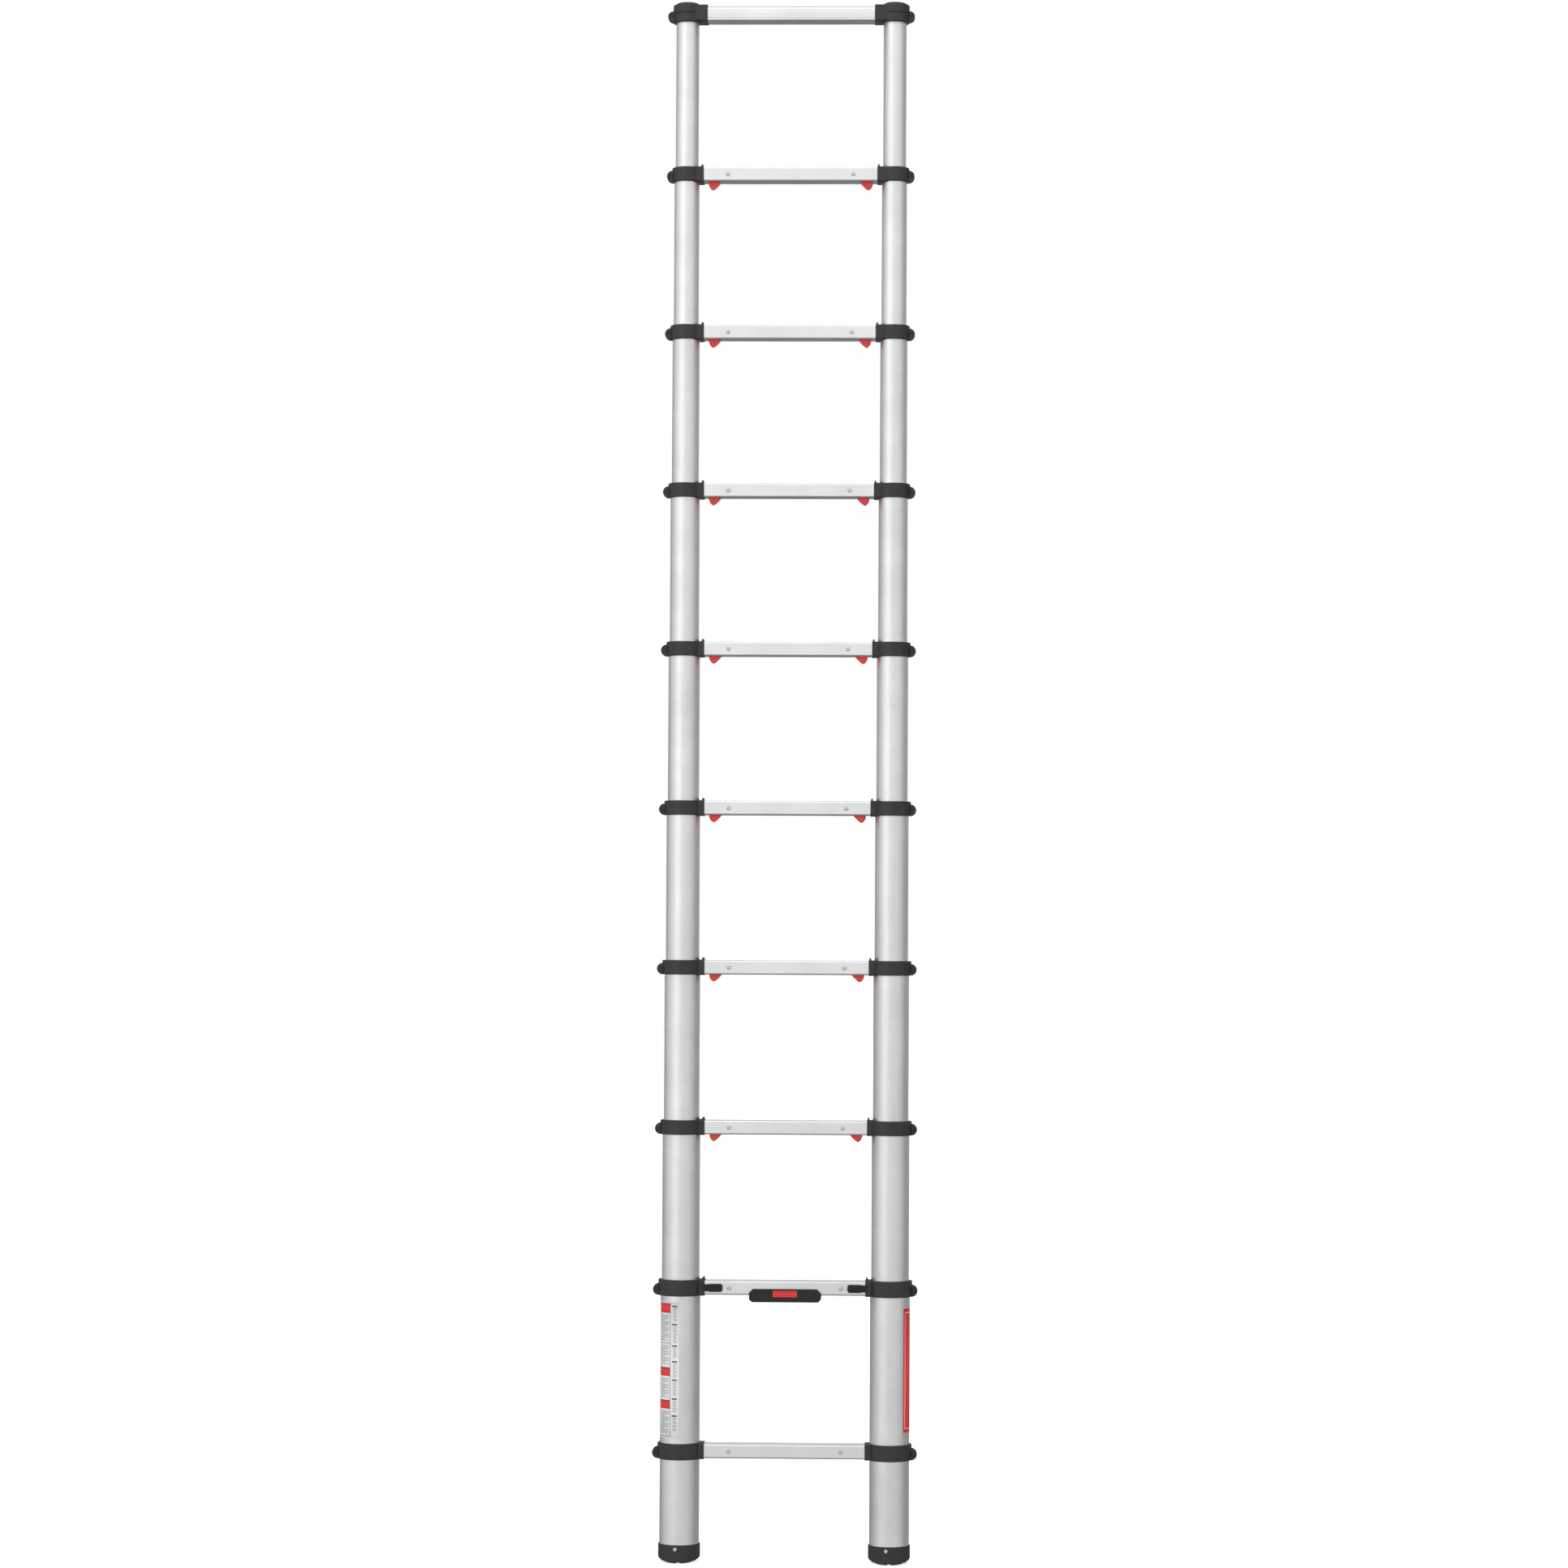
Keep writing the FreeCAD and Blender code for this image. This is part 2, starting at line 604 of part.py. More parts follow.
def collar(number):
    radius = section_radius(rung_section(number))
    top = collar_height(number) / 2.0
    outer = radius + COLLAR_WALL
    ear_z = -top + EAR_RADIUS
    socket_top = max(top, SOCKET_HEIGHT / 2.0)
    body = ring_body(outer, top, -top)
    socket = rounded_bar(0, radius + SOCKET_REACH, SOCKET_DEPTH / 2.0, -socket_top, socket_top, SOCKET_CORNER)
    body = body.fuse(socket)
    body = body.fuse(clamp_ear(radius + EAR_CENTRE_X, ear_z, EAR_RADIUS))
    body = body.fuse(lock_housing(radius))
    if number > 1:
        nub_x = radius + NUB_X
        nub = box(nub_x - NUB_WIDTH / 2.0, nub_x + NUB_WIDTH / 2.0, -NUB_LENGTH / 2.0, NUB_LENGTH / 2.0,
                  socket_top - 1.0, socket_top + NUB_HEIGHT)
        body = body.fuse(nub)
        body = body.cut(cylinder_z(radius + FIT, -top - 2, top - LIP_HEIGHT + FIT))
        body = body.cut(cylinder_z(radius - RADIUS_STEP + SLIDE_GAP, -top - 2, socket_top + 5))
        body = body.cut(cylinder_x(PIN_RADIUS + PIN_GUIDE_GAP, 0, radius + SOCKET_REACH + 1))
    else:
        body = body.cut(cylinder_z(radius + FIT, -top - 2, socket_top + 5))
    if number == 2:
        neck = THUMB_NECK_HEIGHT / 2.0 + SLIDE_GAP
        pocket_start = radius + THUMB_NECK_START - THUMB_LOCK_TRAVEL - 0.5
        pocket_floor = -RUNG_DEPTH / 2.0 - THUMB_FACE_GAP + 0.2
        pocket_end = radius + SOCKET_REACH + 1
        body = body.cut(box(pocket_start, pocket_end, -SOCKET_DEPTH, pocket_floor, -neck, neck))
        stem_room = THUMB_STEM_HALF_HEIGHT + SLIDE_GAP
        body = body.cut(box(radius + THUMB_STEM_START - THUMB_LOCK_TRAVEL - 0.5,
                            radius + THUMB_STEM_END + THUMB_FREE_TRAVEL + 0.5,
                            -RUNG_DEPTH, 0, -stem_room, stem_room))
    body = bored_for_clamp(body, radius + CLAMP_SCREW_X, ear_z)
    slit = EAR_SLIT / 2.0
    body = body.cut(box(-outer - EAR_RADIUS - 2, -radius + 5, -slit, slit, -top - 5, socket_top + 5))
    return body.removeSplitter()


def collar_solids(number):
    radius = section_radius(rung_section(number))
    ear_z = -collar_height(number) / 2.0 + EAR_RADIUS
    screw_x = radius + CLAMP_SCREW_X
    parts = [collar(number), clamp_screw(screw_x, ear_z), clamp_nut(screw_x, ear_z)]
    return both_sides(parts, rung_z(number))


# ---- top caps ----
def cap_socket(grow):
    radius = section_radius(SECTION_COUNT)
    return rounded_bar(0, radius + CAP_SOCKET_REACH + grow, CAP_SOCKET_DEPTH / 2.0 + grow,
                       CAP_SOCKET_BOTTOM_Z - grow, CAP_SOCKET_TOP_Z + grow, SOCKET_CORNER)


def wall_pad(outer):
    # Flat pad on the back of the cap, which leans on the wall.
    pad = box(-CAP_PAD_HALF_WIDTH, CAP_PAD_HALF_WIDTH, 0, outer + CAP_PAD_REACH, CAP_PAD_BOTTOM_Z, CAP_SEAM_Z)
    corners = []
    for edge in pad.Edges:
        extent = edge.BoundBox
        if extent.YMin > outer and extent.ZLength > 1:
            corners.append(edge)
    return pad.makeFillet(CAP_PAD_CORNER, corners)


def cap_body():
    radius = section_radius(SECTION_COUNT)
    outer = radius + CAP_WALL
    body = ring_body(outer, CAP_SEAM_Z, CAP_BOTTOM_Z)
    body = body.fuse(cap_socket(0.0))
    # The ear rises past the seam beside the lid, so the lid's round is cut out of it.
    ear = clamp_ear(radius + CAP_EAR_X, CAP_EAR_Z, CAP_EAR_RADIUS)
    body = body.fuse(ear.cut(cylinder_z(outer + FIT, CAP_SEAM_Z, CAP_DOME_Z)))
    body = body.fuse(wall_pad(outer))
    start = radius + CAP_SOCKET_REACH
    end = start + CAP_TENON_LENGTH
    tenon = box(start - 1, end, -CAP_TENON_HALF_DEPTH, CAP_TENON_HALF_DEPTH,
                -CAP_TENON_HALF_HEIGHT, CAP_TENON_HALF_HEIGHT)
    wall = CAP_TENON_WALL
    tenon = tenon.cut(box(start + 2, end + 1, -CAP_TENON_HALF_DEPTH + wall, CAP_TENON_HALF_DEPTH - wall,
                          -CAP_TENON_HALF_HEIGHT + wall, CAP_TENON_HALF_HEIGHT - wall))
    body = body.fuse(tenon)
    body = body.cut(cylinder_z(radius + FIT, CAP_BOTTOM_Z - 10, CAP_SOCKET_TOP_Z + 5))
    body = bored_for_clamp(body, radius + CAP_SCREW_X, CAP_EAR_Z)
    slit = EAR_SLIT / 2.0
    body = body.cut(box(-outer - EAR_RADIUS - 2, -radius + 5, -slit, slit, CAP_BOTTOM_Z - 10, CAP_DOME_Z))
    return body.removeSplitter()


def cap_lid():
    radius = section_radius(SECTION_COUNT)
    outer = radius + CAP_WALL
    seam = CAP_SEAM_Z + FIT
    lid = revolved([
        (0, seam), (outer - 0.6, seam), (outer, seam + 0.6), (outer, CAP_SHOULDER_Z - 2.5),
        (outer - 0.8, CAP_SHOULDER_Z - 0.9), (outer - 2.4, CAP_SHOULDER_Z), (outer - 8.0, CAP_DOME_Z - 1.8),
        (outer - 14.0, CAP_DOME_Z - 0.6), (outer - 20.0, CAP_DOME_Z), (0, CAP_DOME_Z)])
    lid = lid.cut(cylinder_z(radius + FIT, seam - 1, CAP_TUBE_TOP_Z + FIT))
    return lid.cut(cap_socket(FIT)).removeSplitter()


def top_cap_solids():
    radius = section_radius(SECTION_COUNT)
    screw_x = radius + CAP_SCREW_X
    parts = [cap_body(), cap_lid(), clamp_screw(screw_x, CAP_EAR_Z), clamp_nut(screw_x, CAP_EAR_Z)]
    return both_sides(parts, TOP_RUNG_Z)


# ---- lock pins and their releases ----
def pin_rod(radius):
    tip = radius - RADIUS_STEP + PIN_REST_GAP
    rod = cylinder_x(PIN_RADIUS, tip, radius + CARRIAGE_BACK - 2)
    edges = []
    for edge in rod.Edges:
        extent = edge.BoundBox
        if abs(extent.XMax - tip) < 0.01 and extent.XLength < 0.01:
            edges.append(edge)
    rod = rod.makeChamfer(PIN_NOSE_CHAMFER, edges)
    tail = cylinder_x(TAIL_RADIUS, radius + CARRIAGE_BACK - 3, radius + TAIL_END)
    return rod.fuse(tail)


def lock_pin(number):
    # The sloping face of the carriage rides on the trigger's ramps. The carriage stays high,
    # so that the trigger's flange can rise beneath it.
    radius = section_radius(rung_section(number))
    ramp = radius + TRIGGER_START + RAMP_OFFSET + RAMP_GAP
    low = CARRIAGE_BOTTOM_Z
    high = CARRIAGE_TOP_Z
    back = radius + CARRIAGE_BACK
    block = prism_y([(ramp - low, low), (back, low), (back, high), (ramp - high, high)],
                    -CARRIAGE_HALF_DEPTH, CARRIAGE_HALF_DEPTH)
    return pin_rod(radius).fuse(block).removeSplitter()


def trigger(number):
    radius = section_radius(rung_section(number))
    x0 = radius + TRIGGER_START
    x1 = x0 + TRIGGER_WIDTH
    face = -RUNG_HEIGHT / 2.0
    shelf = face + RUNG_WALL + TRIGGER_DOWN_TRAVEL
    tip_z = face - TRIGGER_HANG
    outline = [(x0, shelf + 0.5), (x0, face - 3.0), (x0 + 0.9, face - 6.5), (x0 + 2.6, face - 9.6)]
    outline += [(x0 + 5.0, tip_z + 1.4), (x0 + 7.0, tip_z + 0.2), (x0 + TRIGGER_TIP, tip_z)]
    outline += [(x0 + 10.2, tip_z + 0.5), (x0 + 12.6, tip_z + 2.0), (x0 + 16.0, tip_z + 4.9)]
    outline += [(x0 + 19.4, tip_z + 8.3), (x0 + 22.0, tip_z + 11.4), (x1, face - 0.6), (x1, shelf + 0.5)]
    tab = prism_y(outline, -TRIGGER_HALF_DEPTH, TRIGGER_HALF_DEPTH)
    flange = box(x0 - FLANGE_OVERHANG, x1 + FLANGE_OVERHANG, -FLANGE_HALF_DEPTH, FLANGE_HALF_DEPTH,
                 shelf, shelf + FLANGE_HEIGHT)
    ramp_x = x0 + RAMP_OFFSET
    flange_top = shelf + FLANGE_HEIGHT
    cheeks = prism_y([(x0 + CHEEK_X, shelf), (x0 + CHEEK_X, CHEEK_TOP_Z), (ramp_x - CHEEK_TOP_Z, CHEEK_TOP_Z),
                      (ramp_x - flange_top, flange_top), (ramp_x - flange_top, shelf)],
                     -TRIGGER_HALF_DEPTH, TRIGGER_HALF_DEPTH)
    fork = tab.fuse(flange).fuse(cheeks)
    slot = box(x0 - 10, x1 + 10, -FORK_INNER_Y, FORK_INNER_Y, FORK_SLOT_Z, 20)
    return fork.cut(slot).removeSplitter()


def thumb_slide():
    radius = section_radius(1)
    back = -RUNG_DEPTH / 2.0 - THUMB_FACE_GAP
    front = back - THUMB_DEPTH
    half = THUMB_PLATE_HEIGHT / 2.0
    x0 = radius + THUMB_PLATE_START
    x1 = radius + THUMB_PLATE_END
    outline = [(x0, -half + 1.5), (x0 + 1.5, -half)]
    corner = THUMB_PLATE_CORNER
    outline += arc_points((x1 - corner, -half + corner), corner, -90, 0, 6)
    outline += arc_points((x1 - corner, half - corner), corner, 0, 90, 6)
    outline += [(x0 + 1.5, half), (x0, half - 1.5)]
    plate = prism_y(outline, front, back)
    neck = THUMB_NECK_HEIGHT / 2.0
    plate = plate.fuse(box(radius + THUMB_NECK_START, x0 + 1, back - THUMB_NECK_DEPTH, back, -neck, neck))
    for index in range(THUMB_RIDGES):
        x = x0 + THUMB_RIDGE_INSET + index * THUMB_RIDGE_PITCH
        reach = half - THUMB_RIDGE_INSET
        ridge = box(x, x + THUMB_RIDGE_WIDTH, front - THUMB_RIDGE_HEIGHT, front + 0.5, -reach, reach)
        plate = plate.fuse(ridge)
    stem = box(radius + THUMB_STEM_START, radius + THUMB_STEM_END, back - 1, -CARRIAGE_HALF_DEPTH,
               -THUMB_STEM_HALF_HEIGHT, THUMB_STEM_HALF_HEIGHT)
    return plate.fuse(stem).removeSplitter()


def thumb_pin():
    radius = section_radius(1)
    high = CARRIAGE_HALF_HEIGHT
    deep = CARRIAGE_HALF_DEPTH
    block = box(radius + THUMB_STEM_START, radius + CARRIAGE_BACK, -deep, deep, -high, high)
    return pin_rod(radius).fuse(block).removeSplitter()


# ---- carry grip ----
def carry_grip():
    half_depth = RUNG_DEPTH / 2.0 + FIT
    outer = half_depth + GRIP_WALL
    half = GRIP_LENGTH / 2.0
    top_half = GRIP_TOP_LENGTH / 2.0
    side = half - top_half
    silhouette = [(-top_half, GRIP_TOP_Z), (top_half, GRIP_TOP_Z), (half, GRIP_TOP_Z - side),
                  (half, GRIP_BOTTOM_Z + GRIP_CHAMFER), (half - GRIP_CHAMFER, GRIP_BOTTOM_Z),
                  (-half + GRIP_CHAMFER, GRIP_BOTTOM_Z), (-half, GRIP_BOTTOM_Z + GRIP_CHAMFER),
                  (-half, GRIP_TOP_Z - side)]
    grip = prism_y(silhouette, -outer, outer)
    rounded = rounded_bar(-half - 1, half + 1, outer, GRIP_BOTTOM_Z, GRIP_TOP_Z + 20, GRIP_ROUNDING)
    grip = grip.common(rounded)
    rung_room = -RUNG_HEIGHT / 2.0 - FIT
    grip = grip.cut(box(-half - 1, half + 1, -half_depth, half_depth, rung_room, 10))
    hollow_end = half - GRIP_CHAMFER - GRIP_FLOOR
    floor = GRIP_BOTTOM_Z + GRIP_FLOOR
    hollow = box(-hollow_end, hollow_end, -half_depth + 1, half_depth - 1, floor, rung_room + 1)
    grip = grip.cut(hollow)
    return placed(grip, 0, rung_z(2))


# ---- export ----
os.makedirs("parts", exist_ok=True)


def export(name, solids):
    if len(solids) == 1:
        shape = solids[0]
    else:
        shape = Part.makeCompound(solids)
    shape.exportStep("parts/" + name + ".step")


export("section_1_tubes", base_tubes())
for section in range(2, SECTION_COUNT + 1):
    export("section_%d_tubes" % section, both_sides([section_tube(section)]))

for number in range(1, LAST_RUNG + 1):
    export("rung_%d" % number, rung_solids(number))

export("base_collars", collar_solids(1) + collar_solids(2))
for number in range(3, LAST_RUNG):
    export("collars_%d" % number, collar_solids(number) + both_sides([guide_bush(number - 1)]))
export("top_caps", top_cap_solids() + both_sides([guide_bush(SECTION_COUNT)]))

for number in range(3, LAST_RUNG):
    for side in ("left", "right"):
        export("trigger_%d_%s" % (number, side), [one_side(trigger(number), side, rung_z(number))])
        export("lock_pin_%d_%s" % (number, side), [one_side(lock_pin(number), side, rung_z(number))])

for side in ("left", "right"):
    slide_parts = [thumb_slide(), thumb_pin()]
    export("thumb_slide_%s" % side, [one_side(part, side, rung_z(2)) for part in slide_parts])

export("feet", feet())
export("carry_grip", [carry_grip()])
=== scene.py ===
import math

import bmesh
import bpy
from mathutils import Matrix, Vector


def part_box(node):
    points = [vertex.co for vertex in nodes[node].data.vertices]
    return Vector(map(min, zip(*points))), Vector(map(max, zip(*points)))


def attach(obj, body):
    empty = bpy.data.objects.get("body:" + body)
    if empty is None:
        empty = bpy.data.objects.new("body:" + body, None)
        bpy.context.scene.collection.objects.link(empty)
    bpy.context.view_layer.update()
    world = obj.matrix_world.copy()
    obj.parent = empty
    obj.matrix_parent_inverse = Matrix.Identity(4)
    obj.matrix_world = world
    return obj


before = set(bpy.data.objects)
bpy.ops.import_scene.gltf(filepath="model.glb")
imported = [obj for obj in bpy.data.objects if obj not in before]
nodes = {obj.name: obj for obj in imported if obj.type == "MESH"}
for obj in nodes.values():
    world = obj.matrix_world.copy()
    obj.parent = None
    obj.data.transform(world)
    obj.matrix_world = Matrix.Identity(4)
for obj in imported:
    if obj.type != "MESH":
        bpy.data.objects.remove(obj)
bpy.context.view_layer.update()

MM = 0.001
STILE_X = 0.2
BASE_TUBE_RADIUS = 0.038
RUNG_DEPTH = 0.040


# ---------------------------------------------------------------- materials
class Shader:
    """A small helper for building node materials."""

    def __init__(self, name, colour, roughness, metallic=0.0):
        self.material = bpy.data.materials.new(name)
        self.material.use_nodes = True
        self.tree = self.material.node_tree
        self.bsdf = self.tree.nodes["Principled BSDF"]
        self.bsdf.inputs["Base Color"].default_value = (*colour, 1.0)
        self.bsdf.inputs["Roughness"].default_value = roughness
        self.bsdf.inputs["Metallic"].default_value = metallic
        self.coordinates = self.tree.nodes.new("ShaderNodeTexCoord")

    def node(self, kind, **values):
        made = self.tree.nodes.new(kind)
        for key, value in values.items():
            if key in made.inputs:
                made.inputs[key].default_value = value
            else:
                setattr(made, key, value)
        return made

    def link(self, source, target):
        self.tree.links.new(source, target)

    def noise(self, stretch, scale, detail=4.0, rough=0.55):
        mapping = self.node("ShaderNodeMapping")
        mapping.inputs["Scale"].default_value = stretch
        self.link(self.coordinates.outputs["Object"], mapping.inputs["Vector"])
        texture = self.node("ShaderNodeTexNoise")
        texture.inputs["Scale"].default_value = scale
        texture.inputs["Detail"].default_value = detail
        texture.inputs["Roughness"].default_value = rough
        self.link(mapping.outputs["Vector"], texture.inputs["Vector"])
        return texture.outputs["Fac"]

    def spread(self, source, low, high):
        ramp = self.node("ShaderNodeMapRange")
        ramp.inputs["From Min"].default_value = 0.25
        ramp.inputs["From Max"].default_value = 0.75
        ramp.inputs["To Min"].default_value = low
        ramp.inputs["To Max"].default_value = high
        self.link(source, ramp.inputs["Value"])
        return ramp.outputs["Result"]

    def tint(self, source, dark, light):
        ramp = self.node("ShaderNodeValToRGB")
        ramp.color_ramp.elements[0].position = 0.3
        ramp.color_ramp.elements[1].position = 0.7
        ramp.color_ramp.elements[0].color = (*dark, 1.0)
        ramp.color_ramp.elements[1].color = (*light, 1.0)
        self.link(source, ramp.inputs["Fac"])
        self.link(ramp.outputs["Color"], self.bsdf.inputs["Base Color"])

    def rough(self, source, low, high):
        self.link(self.spread(source, low, high), self.bsdf.inputs["Roughness"])

    def bump(self, sources, strength, distance):
        total = sources[0]
        for source in sources[1:]:
            add = self.node("ShaderNodeMath", operation="ADD")
            self.link(total, add.inputs[0])
            self.link(source, add.inputs[1])
            total = add.outputs[0]
        bump = self.node("ShaderNodeBump")
        bump.inputs["Strength"].default_value = strength
        bump.inputs["Distance"].default_value = distance
        self.link(total, bump.inputs["Height"])
        self.link(bump.outputs["Normal"], self.bsdf.inputs["Normal"])


def drawn_aluminium(name, along, dark, light, low, high):
    """Satin anodised extrusion with fine die lines along one axis."""
    shader = Shader(name, light, 0.4, 1.0)
    stretch = [1.0, 1.0, 1.0]
    stretch[along] = 0.012
    lines = shader.noise(stretch, 900.0, 3.0)
    cloud = shader.noise((1.0, 1.0, 1.0), 14.0, 5.0)
    grain = shader.noise((1.0, 1.0, 1.0), 2600.0, 2.0)
    shader.tint(cloud, dark, light)
    shader.rough(lines, low, high)
    shader.bump([lines, grain], 0.12, 0.00006)
    return shader.material


def moulded(name, dark, light, low, high, grain_size, depth):
    """Moulded plastic or rubber: fine spark grain, faint handling marks."""
    shader = Shader(name, light, high)
    grain = shader.noise((1.0, 1.0, 1.0), grain_size, 3.0, 0.6)
    scuffs = shader.noise((1.0, 1.0, 0.35), 60.0, 6.0, 0.7)
    shader.tint(scuffs, dark, light)
    shader.rough(scuffs, low, high)
    shader.bump([grain], 0.35, depth)
    return shader.material


def printed(name, colour, roughness=0.38):
    """Printed film of a sticker: near flat, with faint waviness and ink mottle."""
    shader = Shader(name, colour, roughness)
    mottle = shader.noise((1.0, 1.0, 1.0), 420.0, 3.0)
    shader.tint(mottle, tuple(c * 0.93 for c in colour), colour)
    shader.rough(mottle, roughness - 0.05, roughness + 0.08)
    shader.bump([shader.noise((1.0, 1.0, 1.0), 90.0, 2.0)], 0.15, 0.00008)
    return shader.material


def plated(name, colour, low, high):
    """Zinc plated steel with a fine turned grain."""
    shader = Shader(name, colour, low, 1.0)
    marks = shader.noise((1.0, 1.0, 1.0), 1500.0, 4.0)
    shader.tint(marks, tuple(c * 0.8 for c in colour), colour)
    shader.rough(marks, low, high)
    shader.bump([marks], 0.15, 0.00004)
    return shader.material


TUBE = drawn_aluminium("tube_anodised", 2, (0.70, 0.705, 0.71), (0.78, 0.785, 0.79), 0.38, 0.52)
RUNG = drawn_aluminium("rung_anodised", 0, (0.72, 0.725, 0.73), (0.80, 0.805, 0.81), 0.32, 0.46)
NYLON = moulded("nylon_black", (0.007, 0.007, 0.0075), (0.016, 0.016, 0.017), 0.40, 0.58, 1500.0, 0.00012)
GRIP = moulded("grip_black", (0.003, 0.003, 0.0033), (0.007, 0.007, 0.0075), 0.60, 0.76, 1100.0, 0.00015)
RUBBER = moulded("rubber_black", (0.011, 0.011, 0.011), (0.020, 0.020, 0.020), 0.62, 0.82, 800.0, 0.00018)
RED = moulded("tab_red", (0.46, 0.022, 0.018), (0.56, 0.032, 0.026), 0.34, 0.48, 1600.0, 0.00007)
STEEL = plated("screw_zinc", (0.66, 0.66, 0.67), 0.22, 0.38)
BLACK_STEEL = plated("screw_black", (0.06, 0.06, 0.065), 0.35, 0.50)
PAPER = printed("label_white", (0.62, 0.625, 0.635))
LABEL_RED = printed("label_red", (0.58, 0.014, 0.012), 0.5)
LABEL_DARK = printed("label_dark", (0.015, 0.015, 0.018))
LABEL_GREY = printed("label_grey", (0.15, 0.155, 0.17))


# ---------------------------------------------------------------- CAD nodes
def islands(mesh):
    """Lists of polygon indices, one list to each separate solid of a node."""
    keys = {}
    owner = []
    for vertex in mesh.vertices:
        key = tuple(round(c, 6) for c in vertex.co)
        owner.append(keys.setdefault(key, len(keys)))
    parent = list(range(len(keys)))

    def find(item):
        while parent[item] != item:
            parent[item] = parent[parent[item]]
            item = parent[item]
        return item

    for polygon in mesh.polygons:
        first = find(owner[polygon.vertices[0]])
        for index in polygon.vertices[1:]:
            parent[find(owner[index])] = first
    groups = {}
    for polygon in mesh.polygons:
        groups.setdefault(find(owner[polygon.vertices[0]]), []).append(polygon.index)
    return list(groups.values())


def island_size(mesh, polygons):
    low, high = Vector((1e9,) * 3), Vector((-1e9,) * 3)
    for index in polygons:
        for vertex in mesh.polygons[index].vertices:
            point = mesh.vertices[vertex].co
            low = Vector(map(min, low, point))
            high = Vector(map(max, high, point))
    return high - low


SMALL_PART = 30.0 * MM
CLAMP_PART = 22.0 * MM


def dress(node, main, small=None, limit=SMALL_PART):
    """Gives a node its material; solids smaller than the limit take the second one."""
    mesh = nodes[node].data
    mesh.materials.clear()
    mesh.materials.append(main)
    for polygon in mesh.polygons:
        polygon.material_index = 0
    if small is None:
        return
    mesh.materials.append(small)
    for group in islands(mesh):
        if max(island_size(mesh, group)) < limit:
            for index in group:
                mesh.polygons[index].material_index = 1


def dress_thumb_slide(node):
    """The lock pin lies wholly inside the rung; the slide reaches out through its front."""
    dress(node, GRIP)
    mesh = nodes[node].data
    mesh.materials.append(STEEL)
    for group in islands(mesh):
        front = min(mesh.vertices[v].co.y for index in group for v in mesh.polygons[index].vertices)
        if front > -0.5 * RUNG_DEPTH:
            for index in group:
                mesh.polygons[index].material_index = 1


def dress_all():
    for name in nodes:
        if name.endswith("_tubes"):
            dress(name, TUBE)
        elif name.startswith("rung_"):
            dress(name, RUNG, STEEL)
        elif "collars" in name or name == "top_caps":
            dress(name, NYLON, BLACK_STEEL, CLAMP_PART)
        elif name == "feet":
            dress(name, RUBBER, STEEL)
        elif name == "carry_grip":
            dress(name, GRIP)
        elif name.startswith("lock_pin"):
            dress(name, STEEL)
        elif name.startswith("trigger"):
            dress(name, RED)
        elif name.startswith("thumb_slide"):
            dress_thumb_slide(name)


dress_all()


# ---------------------------------------------------------------- stickers
def finish_piece(mesh_builder, name, body, materials):
    mesh = bpy.data.meshes.new(name)
    mesh_builder.to_mesh(mesh)
    mesh_builder.free()
    for material in materials:
        mesh.materials.append(material)
    piece = bpy.data.objects.new(name, mesh)
    bpy.context.scene.collection.objects.link(piece)
    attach(piece, body)
    return piece


def curved_patch(builder, centre_x, radius, start, end, low, high, thickness, material):
    """A thin sheet wrapped round a stile. Angles in degrees, 270 faces the climber."""
    steps = max(2, int(abs(end - start) / 3.0))
    rows = []
    for step in range(steps + 1):
        angle = math.radians(start + (end - start) * step / steps)
        column = []
        for r in (radius, radius + thickness):
            for z in (low, high):
                point = (centre_x + r * math.cos(angle), r * math.sin(angle), z)
                column.append(builder.verts.new(point))
        rows.append(column)
    quads = ((0, 1), (1, 3), (3, 2), (2, 0))
    for before, after in zip(rows, rows[1:]):
        for a, b in quads:
            face = builder.faces.new((before[a], before[b], after[b], after[a]))
            face.material_index = material
            face.smooth = True
    for column in (rows[0], rows[-1]):
        face = builder.faces.new((column[0], column[1], column[3], column[2]))
        face.material_index = material


PAPER_THICKNESS = 0.12 * MM
PRINT_THICKNESS = 0.05 * MM
PRINT_RADIUS = BASE_TUBE_RADIUS + PAPER_THICKNESS
MATERIAL_PAPER, MATERIAL_RED, MATERIAL_DARK, MATERIAL_GREY = range(4)
LABEL_MATERIALS = [PAPER, LABEL_RED, LABEL_DARK, LABEL_GREY]

# White instruction sticker on the left stile: heights in metres, angles in degrees.
STICKER_ANGLES = (190.0, 270.0)
STICKER_HEIGHTS = (0.2356, 0.4936)
FRAME_HEIGHTS = (0.2393, 0.4910)
FRAME_LINE = 0.8 * MM
FRAME_LINE_ANGLE = 1.4
FRAME_START_ANGLES = (199.0, 242.2)
FRAME_CROSS_ANGLES = (199.0, 243.6)
FRAME_MIDDLE_LINE = 0.4150
RED_HEADS = ((0.4910, 0.4730), (0.3690, 0.3532), (0.3071, 0.2913))
RED_HEAD_ANGLES = (201.0, 242.0)
TEXT_BLOCKS = ((0.4680, 0.4200), (0.4110, 0.3740), (0.3490, 0.3120), (0.2870, 0.2440))
TEXT_START, TEXT_END, TEXT_SHORT_END = 206.0, 238.0, 224.0
TEXT_ROW, TEXT_ROW_PITCH, TEXT_ROWS_IN_GROUP = 1.1 * MM, 2.9 * MM, 4
BAR_HEIGHTS = (0.4857, 0.4512, 0.4104, 0.3808, 0.3458, 0.3103, 0.2780)
BAR_ANGLES = (249.0, 264.0)
BAR_HALF_HEIGHT = 1.3 * MM
NOTE_START, NOTE_END, NOTE_SHORT_END = 252.0, 264.0, 259.0
NOTE_ROW, NOTE_ROW_PITCH, NOTE_ROWS_IN_GROUP = 0.8 * MM, 2.3 * MM, 3
